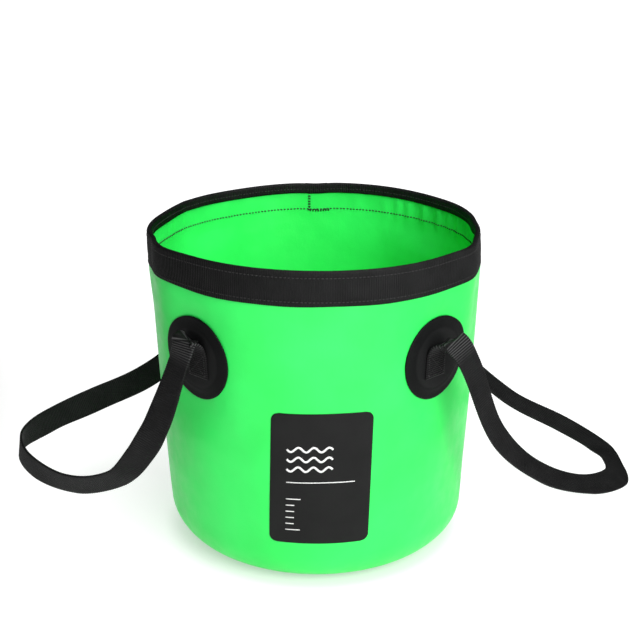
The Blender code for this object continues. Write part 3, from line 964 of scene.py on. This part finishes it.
def make_print():
    """Plain marks: three waves over a rule, and a short scale of level lines."""
    wave_weight = 0.0019
    wave_length = 0.0133
    strips = []
    for row in range(3):
        z = LABEL_TOP - 0.034 - 0.0095 * row
        places = evenly(-0.020, 0.020, 60)
        line = [(x - 0.010, z + 0.0022 * sin(2 * pi * x / wave_length)) for x in places]
        strips.append((line, wave_weight))
    printed("label_waves", strips)
    weight = 0.0009
    left = -0.030
    rule = LABEL_TOP - 0.066
    strips = [([(x, rule) for x in evenly(left, left + 0.060, 24)], weight)]
    for row in range(6):
        z = LABEL_BOTTOM + 0.014 + 0.0062 * row
        reach = 0.013 if row % 5 == 0 else 0.0075
        strips.append(([(x, z) for x in evenly(left, left + reach, 6)], weight))
    printed("label_scale", strips)


# The patches.

def patch_frame(name):
    """Across, up and out at a patch, with the origin on the wall at the patch's middle."""
    azimuth, height = PATCHES[name][:2]
    below = on_wall(azimuth, height - PATCH_RADIUS)
    above = on_wall(azimuth, height + PATCH_RADIUS)
    up = (above - below).normalized()
    # The plateau is level across on average, so its way across is that of its two ends.
    turn = PATCH_PLATEAU / wall_radius(height)
    across = (on_wall(azimuth + turn, height) - on_wall(azimuth - turn, height)).normalized()
    out = across.cross(up).normalized()
    turned = Matrix((across, up, out)).transposed().to_4x4()
    turned.translation = on_wall(azimuth, height)
    return turned


def make_patch(name):
    """A round moulded patch: a thin rounded edge, a sloping flange and a raised middle."""
    azimuth, height = PATCHES[name][:2]
    slope = (PATCH_RISE - PATCH_EDGE) / (PATCH_RADIUS - PATCH_PLATEAU)
    # Its back follows the wall, from near the middle outwards.
    outline = [(PATCH_RADIUS * share, 0.0) for share in (0.2, 0.4, 0.6, 0.8)]
    outline += [(PATCH_RADIUS - 0.0004, 0.0), (PATCH_RADIUS, 0.0004)]
    flange = PATCH_RADIUS - 0.0007
    outline += [(PATCH_RADIUS - 0.0001, PATCH_EDGE * 0.8), (flange, PATCH_EDGE)]
    for share in evenly(0, 1, 7)[1:]:
        radius = flange - (PATCH_RADIUS - PATCH_PLATEAU - 0.0024) * share
        # The flange is a little hollow, as cloth that is pressed down round the middle.
        dip = PATCH_HOLLOW * sin(pi * share)
        outline.append((radius, PATCH_EDGE + slope * (PATCH_RADIUS - radius) - dip))
    outline += [(PATCH_PLATEAU + 0.0008, PATCH_RISE - 0.0002), (PATCH_PLATEAU - 0.0006, PATCH_RISE)]
    outline += [(PATCH_PLATEAU * share, PATCH_RISE) for share in (0.9, 0.75, 0.55, 0.35, 0.15)]
    middle = wall_radius(height)

    def spot(radius, turn, lift):
        x = radius * cos(turn)
        y = radius * sin(turn)
        return on_wall(azimuth + x / middle, height + y, SEAT + lift)

    columns = 96
    rows = [[spot(radius, turn, lift) for turn in round_turns(columns)] for radius, lift in outline]
    around = evenly(0, 2 * pi * PATCH_RADIUS, columns)
    points, faces, uv = grid(rows, True, False, around, [radius for radius, _ in outline])
    inner = (len(rows) - 1) * columns
    close_round(points, faces, uv, spot(0, 0, PATCH_RISE), inner, columns, False)
    close_round(points, faces, uv, spot(0, 0, 0), 0, columns, True)
    patch = object_of("patch_pad_" + name, points, faces, PATCH, uv)
    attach(patch, "rim")
    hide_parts("patch_" + name)


# The handles.

def tab_line(name):
    """The middle line of a sewn end, up the patch and round its fold, and its ways across."""
    turned = patch_frame(name)
    _, _, above, slant, shift = PATCHES[name]
    path = [(shift, y, TAB_LIFT) for y in (-TAB_BELOW, -TAB_BELOW / 2, FOLD_FOOT)]
    for turn in evenly(0, 0.5 * pi, 6)[1:]:
        y = FOLD_FOOT + (above - FOLD_FOOT) * sin(turn)
        out = TAB_LIFT + (FOLD_OUT - TAB_LIFT) * (1 - cos(turn))
        path.append((shift * cos(turn), y, out))
    points = [turned @ Vector(spot) for spot in path]
    leans = [slant * ease(y, FOLD_FOOT, above) for _, y, _ in path]
    return points, [turned.to_3x3() @ Vector((cos(lean), sin(lean), 0.0)) for lean in leans]


def smooth_line(points, steps):
    """Points on a smooth curve through the given ones."""
    count = len(points)
    slopes = []
    for i in range(count):
        before = points[max(i - 1, 0)]
        after = points[min(i + 1, count - 1)]
        span = (points[i] - before).length + (after - points[i]).length
        slopes.append((after - before) / span)
    line = []
    for i in range(count - 1):
        here, there = points[i : i + 2]
        third = (there - here).length / 3
        knots = (here, here + slopes[i] * third, there - slopes[i + 1] * third, there)
        line += interpolate_bezier(*knots, steps + 1)[:-1]
    return line + [points[-1]]


def webbing_section():
    """The section of webbing: points round it, from its middle."""
    side = WEBBING_WIDTH / 2
    half = WEBBING_THICKNESS / 2
    edge = side - half * 0.35
    outline = [(x, half) for x in evenly(half - side, side - half, 8)]
    outline += [(edge, half * 0.70), (side, 0.0), (edge, -half * 0.70)]
    return outline + [(-x, -y) for x, y in outline]


def make_handle(side_name, route):
    """A handle's webbing, from its sewn front end to its sewn rear end."""
    points, across = tab_line("front_" + side_name)
    rear_line, rear_ways = tab_line("rear_" + side_name)
    outwards = 1 if side_name == "right" else -1
    for (out, share, up), (way_out, way_back, way_up) in route:
        x = outwards * (HANDLE_FOLD.x + out)
        points.append(Vector((x, -HANDLE_FOLD.y * share, HANDLE_FOLD.z + up)))
        across.append(Vector((outwards * way_out, way_back, way_up)).normalized())
    points += reversed(rear_line)
    across += reversed(rear_ways)
    # Each way across keeps the sense of the one before it.
    for i in range(1, len(across)):
        if across[i].dot(across[i - 1]) < 0:
            across[i] = -across[i]
    fine = 24
    line = smooth_line(points, fine)
    sides = []
    for i in range(len(line)):
        segment, step = divmod(i, fine)
        following = across[min(segment + 1, len(across) - 1)]
        sides.append(across[segment].lerp(following, ease(step, 0, fine)))
    total = lengths_along(line)
    stations = round(total[-1] / RIB_PITCH) * RIB_STEPS
    distances = evenly(0, total[-1], stations)
    section = webbing_section()
    rows = []
    place = 0
    for i, distance in enumerate(distances):
        while place < len(line) - 2 and total[place + 1] < distance:
            place += 1
        share = share_of(distance, total[place], total[place + 1])
        middle = line[place].lerp(line[place + 1], share)
        before = line[max(place - 1, 0)]
        after = line[min(place + 2, len(line) - 1)]
        along = (after - before).normalized()
        side = sides[place].lerp(sides[place + 1], share)
        side = (side - side.dot(along) * along).normalized()
        face = along.cross(side)
        rib = RIB_HEIGHT * rib_at(i)
        slack = 1 - 0.012 * sin(distance * 90)
        row = []
        for x, y in section:
            thick = y + (copysign(rib, y) if y else 0.0)
            row.append(middle + side * x * slack + face * thick)
        rows.append(row)
    around = lengths_along([Vector((x, y, 0.0)) for x, y in section], closed=True)
    # The two halves meet in the middle of the grip.
    half = stations // 2
    make_half("front", side_name, rows[: half + 1], around, distances[: half + 1])
    behind = [total[-1] - distance for distance in distances[half:]]
    make_half("rear", side_name, rows[half:], around, behind)


def make_half(end_name, side_name, rows, around, along_uv):
    """Half of a handle's webbing, with its own sewn end and fold."""
    points, _, uv = grid(rows, True, False, around, along_uv)
    faces = tube_faces(0, len(rows[0]), len(rows))
    end_uv = [(0.0, place) for place in around[:-1]]
    uv = [end_uv, end_uv] + [[(along, across) for across, along in face] for face in uv]
    name = end_name + "_" + side_name
    half = object_of("handle_webbing_" + name, points, faces, HANDLE_WEBBING, uv)
    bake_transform(half)
    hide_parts("strap_tab_" + name)
    if end_name == "front":
        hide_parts(side_name + "_handle_strap")


def make_box_stitch(name):
    """The box of stitches with a cross in it, on a sewn end."""
    turned = patch_frame(name)
    out = turned.to_3x3() @ Vector((0, 0, 1))
    shift = PATCHES[name][-1]
    lift = TAB_LIFT + WEBBING_THICKNESS / 2 + RIB_HEIGHT * 0.7
    half = WEBBING_WIDTH / 2 - BOX_MARGIN
    low = -TAB_BELOW + BOX_MARGIN
    high = low + BOX_HEIGHT
    corners = []
    for x, y in ((-half, low), (half, low), (half, high), (-half, high)):
        corners.append(turned @ Vector((shift + x, y, lift)))
    seam = Stitches()
    for seed, ends in enumerate(((0, 1), (1, 2), (2, 3), (3, 0), (0, 2), (1, 3)), start=20):
        start, end = [corners[i] for i in ends]
        length = (end - start).length

        def place(distance):
            return start.lerp(end, distance / length), out

        seam.line(place, length, seed, BOX_STITCH, THREAD * 0.9)
    stitches = seam.build("box_thread_" + name)
    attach(stitches, "rim")
    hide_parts("box_stitch_" + name)


# The stage.

def make_floor():
    """A white floor that glows, painted light, so that it shows plain white.

    Its glow is less under the bucket, a painted contact shadow, and less again some way off to the
    bucket's left and right, painted shade that darkens the bucket's sides.
    """
    skin = Surface("floor_white")
    tint = skin.spread(skin.noise(3.0, 2.0))
    away = skin.vector_maths("LENGTH", skin.where)
    # Painted contact shadow: the glow falls off close round the bucket's foot.
    near = skin.spread(away, 0.30, 0.74, 0.100, 0.150)
    far = skin.spread(away, 0.0, 0.36, 0.30, 1.60)
    # Painted shade: two dimmer patches of floor to the left and right, which darken the bucket's
    # sides.
    side_shade_offset = skin.vector_maths("ABSOLUTE", skin.where)
    side_shade_offset = skin.vector_maths("SUBTRACT", side_shade_offset, (0.84, 0.0, 0.0))
    side_shade_offset = skin.vector_maths("MULTIPLY", side_shade_offset, (1 / 0.54, 1.0, 1.0))
    share = skin.spread(skin.vector_maths("LENGTH", side_shade_offset), 0.0, 1.0, 0.55, 1.0)
    # The floor's glow is painted light: the floor is no lamp.
    material = skin.shade({
        "Base Color": skin.between(tint, (0.46,) * 3, (0.48,) * 3),
        "Roughness": 0.9,
        "Specular IOR Level": 0.0,
        "Emission Color": (1.0, 1.0, 1.0, 1.0),
        "Emission Strength": skin.maths("MULTIPLY", skin.maths("ADD", near, far), share),
    })
    reach = 7.0
    corners = [(-reach, -reach, 0), (reach, -reach, 0), (reach, reach, 0), (-reach, reach, 0)]
    floor = object_of("floor", corners, [(0, 1, 2, 3)], material)


def add_light(name, place, target, size, energy):
    """A rectangular soft light that faces a target."""
    data = bpy.data.lights.new(name, "AREA")
    data.shape = "RECTANGLE"
    data.size, data.size_y = size
    data.energy = energy
    made = bpy.data.objects.new(name, data)
    made.location = place
    made.rotation_euler = (Vector(target) - Vector(place)).to_track_quat("-Z", "Y").to_euler()
    bpy.context.scene.collection.objects.link(made)


def light_scene():
    world = bpy.data.worlds.new("studio")
    world.use_nodes = True
    shade = world.node_tree.nodes["Background"]
    shade.inputs["Color"].default_value = (1.0, 1.0, 1.0, 1.0)
    shade.inputs["Strength"].default_value = 0.035
    bpy.context.scene.world = world
    add_light("key", (1.00, -1.85, 1.35), (0, 0, 0.15), (1.6, 1.6), 64.0)
    add_light("fill", (-0.60, -2.00, 1.05), (0, 0, 0.15), (0.8, 1.4), 1.5)
    add_light("top", (0.30, -0.15, 2.0), (0, 0, 0.1), (1.2, 1.2), 29.0)


def add_camera():
    """The photograph's view, from a fit to the bucket's outlines."""
    data = bpy.data.cameras.new("photo_view")
    data.sensor_width = 36.0
    data.lens = 78.2
    place = (-0.0005, -1.2416, 0.6432)
    pitch = 0.3361
    yaw = 0.0035
    roll = 0.0022
    turn = Matrix.Rotation(-yaw, 4, "Z") @ Matrix.Rotation(0.5 * pi - pitch, 4, "X")
    made = bpy.data.objects.new("photo_view", data)
    made.matrix_world = Matrix.Translation(place) @ turn @ Matrix.Rotation(roll, 4, "Z")
    bpy.context.scene.collection.objects.link(made)
    bpy.context.scene.camera = made


make_wall()
make_base()
make_binding()
make_lap()
make_rim_seams()
make_label()
make_print()
for patch_name in PATCHES:
    make_patch(patch_name)
    make_box_stitch(patch_name)
make_handle("left", LEFT_ROUTE)
make_handle("right", RIGHT_ROUTE)
make_floor()
light_scene()
add_camera()
bpy.context.scene.view_settings.view_transform = "Standard"
